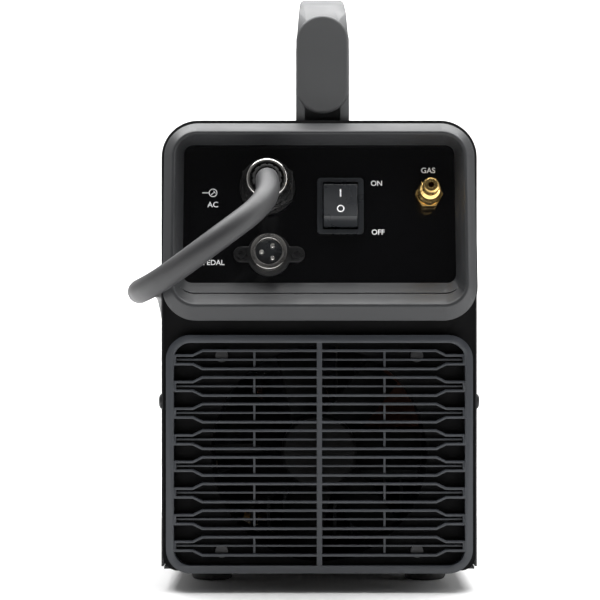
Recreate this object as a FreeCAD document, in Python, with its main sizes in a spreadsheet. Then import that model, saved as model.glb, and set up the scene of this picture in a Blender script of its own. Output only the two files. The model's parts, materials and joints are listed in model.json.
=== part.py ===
import FreeCAD, Part
import math
import os
import Sketcher
from FreeCAD import Vector

# TIG welding machine, in millimetres.
# +X is right as seen from the rear, -Y is the rear (mains and gas side), +Y is
# the front (controls), +Z is up, and the floor is z = 0.

doc = FreeCAD.newDocument("tig_welder")
sheet = doc.addObject("Spreadsheet::Sheet", "Sizes")

SIZES = [
    ("case_wide", 171.0, "outside width of the cover"),
    ("case_high", 254.0, "top of the cover above the floor"),
    ("cover_long", 350.0, "length of the cover"),
    ("skin", 1.2, "thickness of the sheet metal"),
    ("corner_round", 20.0, "outside radius of the cover's top corners"),
    ("base_z", 11.0, "underside of the tray, so also the height of the feet"),
    ("slip", 0.2, "gap where one part slides into another"),
    ("tilt", 12.0, "lean of both upper panels, in degrees"),
    ("split_z", 145.3, "lower edge of the tilted end blocks"),
    ("flange", 8.0, "length of end housing inside the cover"),
    ("top_reach", 3.0, "end housing past the cover at the top"),
    ("low_reach", 8.0, "end housing past the cover below the tilted block"),
    ("wall", 2.5, "moulded wall thickness"),
    ("ridge", 6.0, "height of the bezel's ridge"),
    ("lip", 7.5, "depth of the panel plates below the bezel's root plane"),
    ("window_wide", 146.5, "bezel window"),
    ("window_top", 44.2, "window's upper edge above the bezel's centre"),
    ("window_low", 32.4, "window's lower edge below the bezel's centre"),
    ("plate", 2.5, "thickness of the panel plates"),
    ("grille_wide", 164.2, "grille frame"),
    ("grille_high", 127.5, "grille frame"),
    ("grille_z", 74.15, "height of the grille's centre"),
    ("grille_deep", 7.0, "grille frame"),
    ("rib_pitch", 14.26, "spacing of the grille's loops"),
    ("rib", 1.3, "thickness of a grille rib"),
    ("loop_high", 11.0, "height of one grille loop"),
    ("neck_high", 6.0, "height of a loop's two ends"),
    ("fan", 120.0, "side of the square fan"),
    ("fan_deep", 38.0, "depth of the fan"),
    ("fan_hole", 58.0, "radius of the fan's bore"),
    ("rotor", 56.0, "radius of the fan's blades"),
    ("handle_long", 336.0, "length of the handle"),
    ("handle_wide", 29.0, "width of the handle"),
    ("handle_x", 1.9, "handle's middle from the middle plane"),
    ("handle_rise", 73.0, "top of the handle above the cover"),
    ("grip_rise", 45.0, "underside of the grip above the cover"),
    ("foot_x", 60.0, "foot centre from the middle plane"),
    ("foot_y", 130.0, "foot centre from the middle plane"),
    ("foot_top", 13.0, "radius of a foot at the top"),
    ("foot_low", 11.25, "radius of a foot at the floor"),
    ("gland_x", -28.0, "cable gland's centre on the rear panel"),
    ("gland_v", 20.5, "cable gland's centre up the rear panel"),
    ("gland_long", 20.0, "gland nut's end above the rear plate"),
    ("switch_x", 11.4, "power switch on the rear panel"),
    ("switch_v", 10.0, "power switch up the rear panel"),
    ("rock", 12.0, "rocker's lean either way, in degrees"),
    ("pedal_x", -27.0, "pedal socket on the rear panel"),
    ("pedal_v", -16.9, "pedal socket up the rear panel"),
    ("gas_x", 59.0, "gas inlet on the rear panel"),
    ("gas_v", 15.6, "gas inlet up the rear panel"),
    ("knob_x", 38.0, "current knob on the control plate"),
    ("knob_v", 4.0, "current knob up the control plate"),
    ("knob_r", 18.0, "current knob's radius"),
    ("trim_r", 9.0, "small knobs' radius"),
    ("trim_v", -14.0, "small knobs up the control plate"),
    ("shaft_r", 3.0, "knob shafts"),
    ("running", 0.05, "running clearance of shafts and pins"),
    ("button_r", 4.5, "push buttons' radius"),
    ("apart", 0.35, "gap between a moving part and a fixed one"),
    ("output_x", 48.0, "output sockets from the middle plane"),
    ("output_v", -26.0, "output sockets on the lower front plate"),
    ("cord_r", 6.2, "radius of the mains lead"),
    ("coil_r", 76.0, "radius of the coil's outer turn"),
    ("coil_in", 47.6, "radius of the coil's inner turn"),
    ("coil_x", -19.0, "coil's centre from the middle plane"),
    ("coil_y", 306.0, "coil's centre in front of the machine"),
    ("plug_r", 19.0, "radius of the mains plug"),
]


class Size:
    """A number that keeps the spreadsheet formula it comes from."""

    def __init__(self, value, formula):
        self.value = float(value)
        self.formula = formula

    def __add__(self, other):
        other = size(other)
        return Size(self.value + other.value, f"({self.formula} + {other.formula})")

    def __sub__(self, other):
        other = size(other)
        return Size(self.value - other.value, f"({self.formula} - {other.formula})")

    def __mul__(self, other):
        other = size(other)
        return Size(self.value * other.value, f"({self.formula} * {other.formula})")

    def __truediv__(self, other):
        other = size(other)
        return Size(self.value / other.value, f"({self.formula} / {other.formula})")

    def __radd__(self, other):
        return size(other) + self

    def __rsub__(self, other):
        return size(other) - self

    def __rmul__(self, other):
        return size(other) * self

    def __neg__(self):
        return Size(-self.value, f"(0 - {self.formula})")


def size(value):
    """Any plain number or Size as a Size."""
    if isinstance(value, Size):
        return value
    return Size(value, f"({float(value):.6f})")


class Cells:
    """The spreadsheet's named cells, as attributes."""


S = Cells()
for row, (name, value, meaning) in enumerate(SIZES, start=1):
    sheet.set(f"A{row}", meaning)
    sheet.set(f"B{row}", str(value))
    sheet.setAlias(f"B{row}", name)
    setattr(S, name, Size(value, "Sizes." + name))
doc.recompute()


def trig(kind, angle):
    """sin, cos or tan of an angle in degrees."""
    value = getattr(math, kind)(math.radians(angle.value))
    return Size(value, f"{kind}({angle.formula} * 1 deg)")


def bind(item, name, value):
    item.setExpression(name, size(value).formula)


AXES = {"X": "vector(1;0;0)", "Y": "vector(0;1;0)", "Z": "vector(0;0;1)"}


def step(x, y, z, axis="Z", angle=0.0):
    """One placement: move to (x, y, z), then turn about an axis, in degrees."""
    x, y, z, angle = size(x), size(y), size(z), size(angle)
    spot = f"vector({x.formula};{y.formula};{z.formula})"
    return f"placement({spot}; rotation({AXES[axis]}; {angle.formula}))"


def place(item, *steps):
    item.setExpression("Placement", " * ".join(steps))


# ---- sketches and PartDesign features ----


def new_body(label):
    body = doc.addObject("PartDesign::Body", label)
    body.Label = label
    return body


def new_sketch(body, role="XY", lift=0.0):
    """A sketch on one of the body's own planes, lifted along its normal."""
    item = body.newObject("Sketcher::SketchObject", "sketch")
    plane = [f for f in body.Origin.OriginFeatures if f.Role == role + "_Plane"][0]
    item.AttachmentSupport = [(plane, "")]
    item.MapMode = "FlatFace"
    bind(item, "AttachmentOffset.Base.z", lift)
    return item


def fix_point(item, index, end, x, y):
    """Hold one point of the sketch at (x, y) from the origin."""
    for kind, value in (("DistanceX", size(x)), ("DistanceY", size(y))):
        rule = Sketcher.Constraint(kind, -1, 1, index, end, value.value)
        number = item.addConstraint(rule)
        item.setExpression(f"Constraints[{number}]", value.formula)


def fix_radius(item, index, radius):
    number = item.addConstraint(Sketcher.Constraint("Radius", index, radius.value))
    item.setExpression(f"Constraints[{number}]", radius.formula)


def draw_polygon(item, points):
    points = [(size(x), size(y)) for x, y in points]
    first = item.GeometryCount
    count = len(points)
    lines = []
    for i in range(count):
        ax, ay = points[i]
        bx, by = points[(i + 1) % count]
        start = Vector(ax.value, ay.value, 0)
        lines.append(Part.LineSegment(start, Vector(bx.value, by.value, 0)))
    item.addGeometry(lines, False)
    joins = []
    for i in range(count):
        joins.append(Sketcher.Constraint("Coincident", first + i, 2, first + (i + 1) % count, 1))
    item.addConstraint(joins)
    for i, (x, y) in enumerate(points):
        fix_point(item, first + i, 1, x, y)


def draw_rect(item, x0, y0, x1, y1):
    draw_polygon(item, [(x0, y0), (x1, y0), (x1, y1), (x0, y1)])


def draw_round_rect(item, x0, y0, x1, y1, radius):
    """A rectangle with four round corners: arcs and lines joined tangentially."""
    x0, y0, x1, y1, radius = size(x0), size(y0), size(x1), size(y1), size(radius)
    r = radius.value
    first = item.GeometryCount
    corners = [
        (x1 - radius, y0 + radius, -90),
        (x1 - radius, y1 - radius, 0),
        (x0 + radius, y1 - radius, 90),
        (x0 + radius, y0 + radius, 180),
    ]
    ends = []
    arcs = []
    for cx, cy, start in corners:
        centre = Vector(cx.value, cy.value, 0)
        a = math.radians(start)
        b = math.radians(start + 90)
        arcs.append(Part.ArcOfCircle(Part.Circle(centre, Vector(0, 0, 1), r), a, b))
        near = centre + Vector(math.cos(a), math.sin(a), 0) * r
        far = centre + Vector(math.cos(b), math.sin(b), 0) * r
        ends.append((near, far))
    shapes = []
    for i in range(4):
        shapes.append(Part.LineSegment(ends[i - 1][1], ends[i][0]))
        shapes.append(arcs[i])
    item.addGeometry(shapes, False)
    joins = []
    for i in range(8):
        joins.append(Sketcher.Constraint("Tangent", first + i, 2, first + (i + 1) % 8, 1))
    item.addConstraint(joins)
    for i, (cx, cy, start) in enumerate(corners):
        fix_point(item, first + 2 * i + 1, 3, cx, cy)
        fix_radius(item, first + 2 * i + 1, radius)


def draw_circle(item, x, y, radius):
    x, y, radius = size(x), size(y), size(radius)
    centre = Vector(x.value, y.value, 0)
    index = item.addGeometry(Part.Circle(centre, Vector(0, 0, 1), radius.value), False)
    fix_point(item, index, 3, x, y)
    fix_radius(item, index, radius)


def hexagon(radius, turn=0):
    spots = [math.radians(60 * i + turn) for i in range(6)]
    return [(size(radius) * math.cos(a), size(radius) * math.sin(a)) for a in spots]


def pad(body, item, length, both=False, back=False):
    feature = body.newObject("PartDesign::Pad", "pad")
    feature.Profile = item
    bind(feature, "Length", length)
    feature.SideType = "Symmetric" if both else "One side"
    feature.Reversed = back
    item.Visibility = False
    return feature


def pocket(body, item, length, both=False, back=False):
    feature = body.newObject("PartDesign::Pocket", "pocket")
    feature.Profile = item
    bind(feature, "Length", length)
    feature.SideType = "Symmetric" if both else "One side"
    feature.Reversed = back
    return feature


def revolve(body, points, cut=False):
    """Turn an outline of (radius, height) points about the body's own Z."""
    item = new_sketch(body, "XZ")
    draw_polygon(item, points)
    kind = "PartDesign::Groove" if cut else "PartDesign::Revolution"
    feature = body.newObject(kind, "turned")
    feature.Profile = item
    feature.ReferenceAxis = (item, ["V_Axis"])
    feature.Angle = 360
    return feature


def loft(body, low, high, cut=False):
    kind = "PartDesign::SubtractiveLoft" if cut else "PartDesign::AdditiveLoft"
    feature = body.newObject(kind, "loft")
    feature.Profile = low
    feature.Sections = [high]
    feature.Ruled = True
    return feature


def polar(body, features, item, count):
    feature = body.newObject("PartDesign::PolarPattern", "ring")
    feature.Originals = features
    feature.Axis = (item, ["N_Axis"])
    feature.Angle = 360
    feature.Occurrences = count
    body.Tip = feature
    return feature


def rows(body, features, item, direction, length, count):
    feature = body.newObject("PartDesign::LinearPattern", "rows")
    feature.Originals = features
    feature.Direction = (item, [direction])
    bind(feature, "Length", length)
    feature.Occurrences = count
    body.Tip = feature
    return feature


def round_edges(body, feature, radius, wanted):
    """Fillet the feature's edges whose middle and direction pass the test."""
    doc.recompute()
    names = []
    for number, edge in enumerate(feature.Shape.Edges, start=1):
        middle = edge.valueAt((edge.FirstParameter + edge.LastParameter) / 2)
        run = edge.Vertexes[-1].Point - edge.Vertexes[0].Point
        if wanted(middle, run):
            names.append(f"Edge{number}")
    fillet = body.newObject("PartDesign::Fillet", "fillet")
    fillet.Base = (feature, names)
    bind(fillet, "Radius", radius)
    return fillet


# ---- Part primitives ----


def box(x0, y0, z0, x1, y1, z1):
    x0, y0, z0 = size(x0), size(y0), size(z0)
    item = doc.addObject("Part::Box", "box")
    bind(item, "Length", size(x1) - x0)
    bind(item, "Width", size(y1) - y0)
    bind(item, "Height", size(z1) - z0)
    place(item, step(x0, y0, z0))
    return item


def rod(x, y, z, radius, length, axis="Z"):
    """A cylinder that starts at (x, y, z) and runs along an axis."""
    item = doc.addObject("Part::Cylinder", "rod")
    bind(item, "Radius", radius)
    bind(item, "Height", length)
    turn = {"X": ("Y", 90), "Y": ("X", -90), "Z": ("Z", 0)}[axis]
    place(item, step(x, y, z, *turn))
    return item


def cone(x, y, z, low, high, length):
    item = doc.addObject("Part::Cone", "cone")
    bind(item, "Radius1", low)
    bind(item, "Radius2", high)
    bind(item, "Height", length)
    place(item, step(x, y, z))
    return item


def fuse(label, shapes):
    item = doc.addObject("Part::MultiFuse", label)
    item.Shapes = shapes
    item.Label = label
    return item


def cut(label, base, tool):
    item = doc.addObject("Part::Cut", label)
    item.Base = base
    item.Tool = tool
    item.Label = label
    return item


NODES = {}


def keep(label, item, *steps):
    """Name a finished sub-part and put it in its place."""
    item.Label = label
    if steps:
        place(item, *steps)
    NODES[label] = item
    return item


# ---- shared measures and the four panel frames ----

half_in = S.case_wide / 2 - S.skin - S.slip
roof_in = S.case_high - S.skin - S.slip
half_long = S.cover_long / 2
flange_y = half_long - S.flange
low_y = half_long + S.low_reach
face_z = (roof_in + S.split_z) / 2
face_y = half_long + S.top_reach + (roof_in - face_z) * trig("tan", S.tilt)
face_high = (roof_in - S.split_z) / trig("cos", S.tilt)
lean = 90 - S.tilt
TURN = step(0, 0, 0, "Z", 180)
REAR = [step(0, -face_y, face_z, "X", lean)]
FRONT = [TURN] + REAR
LOW_REAR = [step(0, -low_y, S.grille_z, "X", 90)]
LOW_FRONT = [TURN] + LOW_REAR
plate_top = -S.lip


def on_plate(frame, u, v):
    """A frame standing on a panel plate's outer face, with +Z outward."""
    return frame + [step(u, v, plate_top)]


# ---- end housings ----


def end_housing(label, turn, opening):
    """Moulded end of the case: a tilted block above a flat lower wall."""
    body = new_body(label)
    block = new_sketch(body, "XZ")
    draw_round_rect(block, -half_in, S.split_z, half_in, roof_in, S.corner_round - S.skin - S.slip)
    pad(body, block, S.flange + 40)
    lower = new_sketch(body, "XZ")
    draw_round_rect(lower, -half_in, S.base_z, half_in, S.split_z + 50, 8)
    pad(body, lower, S.flange + S.low_reach)
    slope = new_sketch(body, "YZ")
    top_y = -(S.flange + S.top_reach)
    run = trig("tan", S.tilt)
    over = (top_y + 5 * run, roof_in + 5)
    under = (top_y - (roof_in - S.split_z + 5) * run, S.split_z - 5)
    draw_polygon(slope, [over, (-90, roof_in + 5), (-90, S.split_z - 5), under])
    pocket(body, slope, S.case_wide * 2, both=True)
    hollow = new_sketch(body, "XZ")
    inner = half_in - S.wall
    draw_round_rect(hollow, -inner, S.split_z + S.wall, inner, roof_in - S.wall, 16)
    pocket(body, hollow, S.flange + 60, back=True)
    cavity = new_sketch(body, "XZ")
    draw_round_rect(cavity, -inner, S.base_z + S.wall, inner, S.split_z + 12, 5.5)
    pocket(body, cavity, S.flange + S.low_reach - S.wall, back=True)
    shelf = new_sketch(body, "YZ")
    shelf_z = S.base_z + S.skin + 0.4
    draw_rect(shelf, -(S.flange + 0.4), S.base_z - 2, 2, shelf_z)
    pocket(body, shelf, S.case_wide * 2, both=True)
    bore = new_sketch(body, "XZ")
    opening(bore)
    pocket(body, bore, S.flange + 20, back=True)
    side = new_sketch(body, "YZ")
    draw_circle(side, 4 - S.flange, 101.6, 2.2)
    pocket(body, side, S.case_wide * 2, both=True)
    keep(label, body, *turn, step(0, -flange_y, 0))


def fan_opening(wall):
    """The round bore behind the grille, with the fan's four screw holes."""
    draw_circle(wall, 0, S.grille_z, S.fan_hole)
    corner = S.fan / 2 - 7.5
    for sx in (-1, 1):
        for sz in (-1, 1):
            draw_circle(wall, corner * sx, S.grille_z + corner * sz, 2.2)


def socket_opening(wall):
    """The window behind the connector plate, wide enough for every socket's back."""
    half_w = S.output_x + 19.5
    draw_round_rect(wall, -half_w, S.grille_z + S.output_v - 19.5, half_w, S.grille_z + 58, 6)


def bezel(label, frame):
    """Raised frame round a panel: outer bevel, ridge, and a deep chin inside."""
    body = new_body(label)
    wide = half_in - 0.2
    high = face_high / 2 - 0.2
    root = new_sketch(body)
    draw_round_rect(root, -wide, -high, wide, high, 18.6)
    rim_x = wide - 4.9
    rim_y = high - 6.4
    rim = new_sketch(body, lift=S.ridge)
    draw_round_rect(rim, -rim_x, -rim_y, rim_x, rim_y, 13.5)
    loft(body, root, rim)
    skirt = new_sketch(body)
    half_w = S.window_wide / 2
    draw_round_rect(skirt, -(half_w + 6), -(S.window_low + 7), half_w + 6, S.window_top + 6.3, 14)
    pad(body, skirt, 14, back=True)
    edge = new_sketch(body, lift=S.ridge)
    draw_round_rect(edge, 1.5 - rim_x, 1.5 - rim_y, rim_x - 1.5, rim_y - 1.5, 12)
    floor = new_sketch(body, lift=-6)
    draw_round_rect(floor, -half_w, -S.window_low, half_w, S.window_top, 5)
    loft(body, edge, floor, cut=True)
    window = new_sketch(body, lift=-5.9)
    draw_round_rect(window, -half_w, -S.window_low, half_w, S.window_top, 5)
    pocket(body, window, 12)
    rebate = new_sketch(body, lift=plate_top)
    draw_round_rect(rebate, -half_w - 3, -S.window_low - 3, half_w + 3, S.window_top + 3, 6)
    pocket(body, rebate, 12)
    keep(label, body, *frame)


def panel_plate(label, frame, holes, slots):
    body = new_body(label)
    outline = new_sketch(body, lift=plate_top - S.plate)
    half_w = S.window_wide / 2 + 2.8
    draw_round_rect(outline, -half_w, -S.window_low - 2.8, half_w, S.window_top + 2.8, 5.8)
    pad(body, outline, S.plate)
    drill = new_sketch(body, lift=plate_top + 0.5)
    for u, v, radius in holes:
        draw_circle(drill, u, v, radius)
    for x0, y0, x1, y1 in slots:
        draw_rect(drill, x0, y0, x1, y1)
    pocket(body, drill, S.plate + 2)
    keep(label, body, *frame)


end_housing("rear_housing", [], fan_opening)
end_housing("front_housing", [TURN], socket_opening)
bezel("rear_bezel", REAR)
bezel("front_bezel", FRONT)

switch_half_x = size(10.9)
switch_half_y = size(13.9)
panel_plate(
    "rear_panel_plate",
    REAR,
    [
        (S.gland_x, S.gland_v, 11.4),
        (S.pedal_x, S.pedal_v, 8.1),
        (S.pedal_x - 15, S.pedal_v, 1.6),
        (S.pedal_x + 15, S.pedal_v, 1.6),
        (S.gas_x, S.gas_v, 5.1),
    ],
    [
        (
            S.switch_x - switch_half_x - 0.1,
            S.switch_v - switch_half_y - 0.1,
            S.switch_x + switch_half_x + 0.1,
            S.switch_v + switch_half_y + 0.1,
        )
    ],
)

# ---- grille: rows of two thin ribs that pinch together at both ends ----


def rear_grille():
    body = new_body("rear_grille")
    half_w = S.grille_wide / 2
    half_h = S.grille_high / 2
    ring = new_sketch(body)
    draw_round_rect(ring, -half_w, -half_h, half_w, half_h, 13)
    draw_round_rect(ring, 4.1 - half_w, 4.1 - half_h, half_w - 4.1, half_h - 4.1, 9)
    pad(body, ring, S.grille_deep)
    top_v = 3.5 * S.rib_pitch + 0.65
    end_x = half_w - 3.2
    neck_x = size(67.9)
    flare_x = size(62.8)
    tall = S.loop_high / 2
    neck = S.neck_high / 2
    loops = new_sketch(body, lift=2.6)
    right = [(flare_x, -tall), (neck_x, -neck), (end_x, -neck)]
    right += [(end_x, neck), (neck_x, neck), (flare_x, tall)]
    outer = [(x, y + top_v) for x, y in right]
    outer += [(-x, y + top_v) for x, y in reversed(right)]
    draw_polygon(loops, outer)
    gap = neck - S.rib
    high = tall - S.rib
    right = [(flare_x - 0.3, -high), (neck_x - 0.3, -gap), (end_x - 2.1, -gap)]
    right += [(end_x - 2.1, gap), (neck_x - 0.3, gap), (flare_x - 0.3, high)]
    inner = [(x, y + top_v) for x, y in right]
    inner += [(-x, y + top_v) for x, y in reversed(right)]
    draw_polygon(loops, inner)
    loop_pad = pad(body, loops, S.grille_deep - 3.1)
    posts = new_sketch(body, lift=2.6)
    for sx in (-1, 1):
        draw_rect(posts, 34.9 * sx - 0.55, top_v - high - 0.4, 34.9 * sx + 0.55, top_v + high + 0.4)
    post_pad = pad(body, posts, 1.9)
    slats = new_sketch(body, lift=2.6)
    draw_rect(slats, -(end_x - 1), top_v - 0.5, end_x - 1, top_v + 0.5)
    slat_pad = pad(body, slats, 1.2)
    rows(body, [loop_pad, post_pad, slat_pad], loops, "V_Axis", 7 * S.rib_pitch, 8)
    body.Tip.Reversed = True
    spine = new_sketch(body, lift=2.6)
    draw_rect(spine, -1.4, 2 - half_h, 1.4, half_h - 2)
    pad(body, spine, S.grille_deep - 2.8)
    keep("rear_grille", body, *LOW_REAR)


rear_grille()

# ---- power switch ----


def power_switch():
    body = new_body("rear_switch_body")
    frame = new_sketch(body)
    draw_round_rect(frame, -12.5, -15.5, 12.5, 15.5, 2)
    pad(body, frame, 2)
    block = new_sketch(body, lift=-22)
    draw_rect(block, -switch_half_x, -switch_half_y, switch_half_x, switch_half_y)
    pad(body, block, 23)
    mouth = new_sketch(body, lift=2)
    draw_rect(mouth, -9.5, -13.15, 9.5, 13.15)
    pocket(body, mouth, 14.5)
    pivot = new_sketch(body, "YZ")
    draw_circle(pivot, 0, -2, 1.5 + S.running)
    pocket(body, pivot, 30, both=True)
    blades = new_sketch(body, lift=-30)
    for x in (-5, 5):
        for y in (-7, 7):
            draw_rect(blades, x - 0.4, y - 3.1, x + 0.4, y + 3.1)
    pad(body, blades, 9)
    keep("rear_switch_body", body, *on_plate(REAR, S.switch_x, S.switch_v))

    rocker = new_body("rear_switch_rocker")
    side = new_sketch(rocker, "YZ")
    right = [(5, -7), (10, -4), (12.5, 1), (11.6, 5.5), (9.4, 9)]
    outline = right + [(0, 7.2)] + [(-x, y) for x, y in reversed(right)]
    draw_polygon(side, outline)
    pad(rocker, side, 18.2, both=True)
    pin = new_sketch(rocker, "YZ")
    draw_circle(pin, 0, 0, 1.5)
    pad(rocker, pin, 21.2, both=True)
    spot = on_plate(REAR, S.switch_x, S.switch_v)
    keep("rear_switch_rocker", rocker, *spot, step(0, 0, -2, "X", -S.rock))


power_switch()

# ---- cable gland ----


def cable_gland():
    spot = on_plate(REAR, S.gland_x, S.gland_v)
    body = new_body("gland_body")
    flats = new_sketch(body)
    draw_polygon(flats, hexagon(15.6, 30))
    pad(body, flats, 5.5)
    tube = [(7, -11), (11.2, -11), (11.2, 0), (15, 0), (15, 2), (10.2, 2), (10.2, 11), (7, 11)]
    hole = new_sketch(body, lift=6)
    draw_circle(hole, 0, 0, 7)
    pocket(body, hole, 20)
    revolve(body, tube)
    lock = new_sketch(body, lift=-S.plate - 4.5)
    draw_polygon(lock, hexagon(16.5, 0))
    draw_circle(lock, 0, 0, 10)
    pad(body, lock, 4.5)
    keep("gland_body", body, *spot)

    nut = new_body("gland_nut")
    tip = S.gland_long
    shell = [(10.5, 5.8), (13.4, 5.8), (13.4, tip - 7.5), (12.6, tip - 6.5), (11.1, tip - 0.8)]
    shell += [(10.3, tip), (8.6, tip), (8.6, tip - 6), (10.5, tip - 7.5)]
    revolve(nut, shell)
    claw = new_sketch(nut, lift=tip - 7)
    draw_circle(claw, 14, 0, 1.5)
    notch = pocket(nut, claw, 12)
    polar(nut, [notch], claw, 14)
    keep("gland_nut", nut, *spot)

    seal = new_body("gland_seal")
    ring = [(S.cord_r, 2), (6.9, 2), (6.9, 11.3), (8.4, 11.3), (8.4, tip - 1), (7.4, tip + 0.6)]
    ring += [(S.cord_r, tip + 0.6)]
    revolve(seal, ring)
    gap = new_sketch(seal, lift=tip - 3)
    draw_circle(gap, 7.9, 0, 0.7)
    split = pocket(seal, gap, 6, back=True)
    polar(seal, [split], gap, 12)
    keep("gland_seal", seal, *spot)


cable_gland()

# ---- round multi-pin sockets ----


def screw(x, y, z, head, length):
    """A cross-head screw whose head stands on z and points up."""
    body = fuse("screw", [rod(x, y, z, head, 1.8), rod(x, y, z - length, 1.45, length)])
    arms = [box(x - 1.6, y - 0.35, z + 0.9, x + 1.6, y + 0.35, z + 3)]
    arms.append(box(x - 0.35, y - 1.6, z + 0.9, x + 0.35, y + 1.6, z + 3))
    return cut("cross_screw", body, fuse("cross", arms))


def round_socket(name, spot, count, first):
    shell = new_body(name + "_shell")
    flange = new_sketch(shell)
    draw_circle(flange, 0, 0, 11.75)
    pad(shell, flange, 2)
    ears = new_sketch(shell)
    draw_round_rect(ears, -19.2, -4.3, 19.2, 4.3, 4.2)
    pad(shell, ears, 2)
    barrel = new_sketch(shell, lift=-13)
    draw_circle(barrel, 0, 0, 8)
    pad(shell, barrel, 14)
    mouth = new_sketch(shell)
    draw_circle(mouth, 0, 0, 9.8)
    pad(shell, mouth, 9.5)
    bore = new_sketch(shell, lift=12)
    draw_circle(bore, 0, 0, 7.1)
    pocket(shell, bore, 30)
    holes = new_sketch(shell, lift=3)
    for x in (-15, 15):
        draw_circle(holes, x, 0, 1.6)
    pocket(shell, holes, 5)
    keep(name + "_shell", shell, *spot)
    insert = new_body(name + "_insert")
    core = new_sketch(insert, lift=-13.5)
    draw_circle(core, 0, 0, 7.05)
    spots = [math.radians(first + 360 * i / count) for i in range(count)]
    for a in spots:
        draw_circle(core, 3.9 * math.cos(a), 3.9 * math.sin(a), 1.25)
    pad(insert, core, 18.5)
    keep(name + "_insert", insert, *spot)
    pins = []
    for a in spots:
        pins.append(rod(3.9 * math.cos(a), 3.9 * math.sin(a), -18, 1.25, 26))
    keep(name + "_pins", fuse(name + "_pins", pins), *spot)


pedal = on_plate(REAR, S.pedal_x, S.pedal_v)
round_socket("pedal_socket", pedal, 3, 180)
screws = fuse("pedal_socket_screws", [screw(-15, 0, 2, 2.8, 8), screw(15, 0, 2, 2.8, 8)])
keep("pedal_socket_screws", screws, *pedal)

# ---- gas inlet ----


def gas_inlet():
    spot = on_plate(REAR, S.gas_x, S.gas_v)
    body = new_body("gas_inlet")
    flats = new_sketch(body)
    draw_polygon(flats, hexagon(7.6, 0))
    draw_circle(flats, 0, 0, 1.6)
    pad(body, flats, 5.5)
    stem = [(1.6, -13), (4.9, -13), (4.9, 0.5), (6.4, 5), (6.4, 10), (5.4, 11.5), (5.4, 14.5)]
    stem += [(3.7, 15.8), (4.4, 18), (3.7, 19.7), (4.4, 20.5), (4.4, 23), (3.5, 24.5), (1.6, 24.5)]
    revolve(body, stem)
    keep("gas_inlet", body, *spot)
    nut = new_body("gas_inlet_nut")
    ring = new_sketch(nut, lift=-S.plate - 3.5)
    draw_polygon(ring, hexagon(8.1, 0))
    draw_circle(ring, 0, 0, 4.9)
    pad(nut, ring, 3.5)
    keep("gas_inlet_nut", nut, *spot)


gas_inlet()

# ---- cover, tray and feet ----


def cover():
    body = new_body("cover")
    outline = new_sketch(body, "XZ")
    out_x = S.case_wide / 2
    in_x = out_x - S.skin
    low = S.base_z + 1.4
    top = S.case_high
    points = [(-out_x, low), (-in_x, low), (-in_x, top - S.skin), (in_x, top - S.skin)]
    points += [(in_x, low), (out_x, low), (out_x, top), (-out_x, top)]
    draw_polygon(outline, points)
    wrap = pad(body, outline, S.cover_long, both=True)

    def outer(middle, run):
        return middle.z > top.value - 0.1 and abs(middle.x) > out_x.value - 0.1

    def inner(middle, run):
        flat = abs(middle.z - top.value + S.skin.value) < 0.1
        return flat and abs(abs(middle.x) - in_x.value) < 0.1 and abs(run.y) > 10

    soft = round_edges(body, wrap, S.corner_round, outer)
    round_edges(body, soft, S.corner_round - S.skin, inner)
    vents = new_sketch(body, "YZ")
    for y in (-95, 0, 95):
        draw_rect(vents, y - 30, 64, y + 30, 67)
    slot = pocket(body, vents, S.case_wide * 2, both=True)
    rows(body, [slot], vents, "V_Axis", 120, 11)
    holes = new_sketch(body, "YZ")
    for sy in (-1, 1):
        draw_circle(holes, (half_long - 4) * sy, 101.6, 2.1)
        draw_circle(holes, 80 * sy, 22, 2.1)
    pocket(body, holes, S.case_wide * 2, both=True)
    keep("cover", body)


cover()


def base_tray():
    body = new_body("base_tray")
    top = S.base_z + S.skin
    floor = new_sketch(body, "XZ")
    draw_rect(floor, -half_in, S.base_z, half_in, top)
    pad(body, floor, S.cover_long, both=True)
    walls = new_sketch(body, "XZ")
    draw_rect(walls, -half_in, S.base_z, S.skin - half_in, 32)
    draw_rect(walls, half_in - S.skin, S.base_z, half_in, 32)
    pad(body, walls, 2 * flange_y - 1, both=True)
    vents = new_sketch(body, lift=S.base_z - 1)
    draw_rect(vents, -56, -25, 56, -20)
    slot = pocket(body, vents, 4, back=True)
    rows(body, [slot], vents, "V_Axis", 60, 6)
    holes = new_sketch(body, "YZ")
    for sy in (-1, 1):
        draw_circle(holes, 80 * sy, 22, 2.1)
    pocket(body, holes, S.case_wide * 2, both=True)
    bolts = new_sketch(body, lift=S.base_z - 1)
    for sx in (-1, 1):
        for sy in (-1, 1):
            draw_circle(bolts, S.foot_x * sx, S.foot_y * sy, 2.2)
    pocket(body, bolts, 4, back=True)
    keep("base_tray", body)


base_tray()

number = 0
foot_bolts = []
for sy in (-1, 1):
    for sx in (-1, 1):
        number += 1
        foot = new_body(f"foot_{number}")
        rim = [(2.2, 5), (6.5, 5), (6.5, 0), (S.foot_low - 1, 0), (S.foot_low, 1)]
        rim += [(S.foot_top, S.base_z), (2.2, S.base_z)]
        revolve(foot, rim)
        keep(f"foot_{number}", foot, step(S.foot_x * sx, S.foot_y * sy, 0))
        foot_bolts.append(rod(S.foot_x * sx, S.foot_y * sy, 2.4, 5, 2.6))
        foot_bolts.append(rod(S.foot_x * sx, S.foot_y * sy, 4, 2.2, S.base_z + 1))
keep("foot_screws", fuse("foot_screws", foot_bolts))

side_bolts = []
for sx in (-1, 1):
    for y, z in ((half_long - 4, 101.6), (4 - half_long, 101.6), (size(80), 22), (size(-80), 22)):
        start = S.case_wide / 2 if sx > 0 else -S.case_wide / 2 - 1.6
        side_bolts.append(rod(start, y, z, 4, 1.6, "X"))
        shank = S.case_wide / 2 - 8 if sx > 0 else -S.case_wide / 2
        side_bolts.append(rod(shank, y, z, 2.1, 8, "X"))
keep("cover_screws", fuse("cover_screws", side_bolts))

# ---- handle ----


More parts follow.
